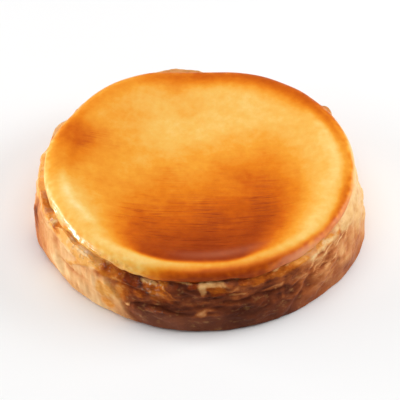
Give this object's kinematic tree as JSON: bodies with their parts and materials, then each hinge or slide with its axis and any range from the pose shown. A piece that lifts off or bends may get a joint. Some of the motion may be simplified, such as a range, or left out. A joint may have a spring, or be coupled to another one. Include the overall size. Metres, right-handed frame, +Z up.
{
  "type": "basque cheesecake",
  "caption": "Whole uncut burnt Basque cheesecake: round, with a sunken glossy caramel top, a rounded rim and a creased, flaky baked side on a flat underside.",
  "frame": {"origin": "middle of the flat underside", "axes": "+Z up through the middle of the top, -Y towards the front of the cake"},
  "size_m": [0.2313, 0.2313, 0.0485],
  "materials": {
    "baked_skin": "moist baked custard skin, glossy caramel on top, darker and rougher on the side"
  },
  "bodies": {
    "root": {"cheesecake": "baked_skin"}
  },
  "joints": []
}
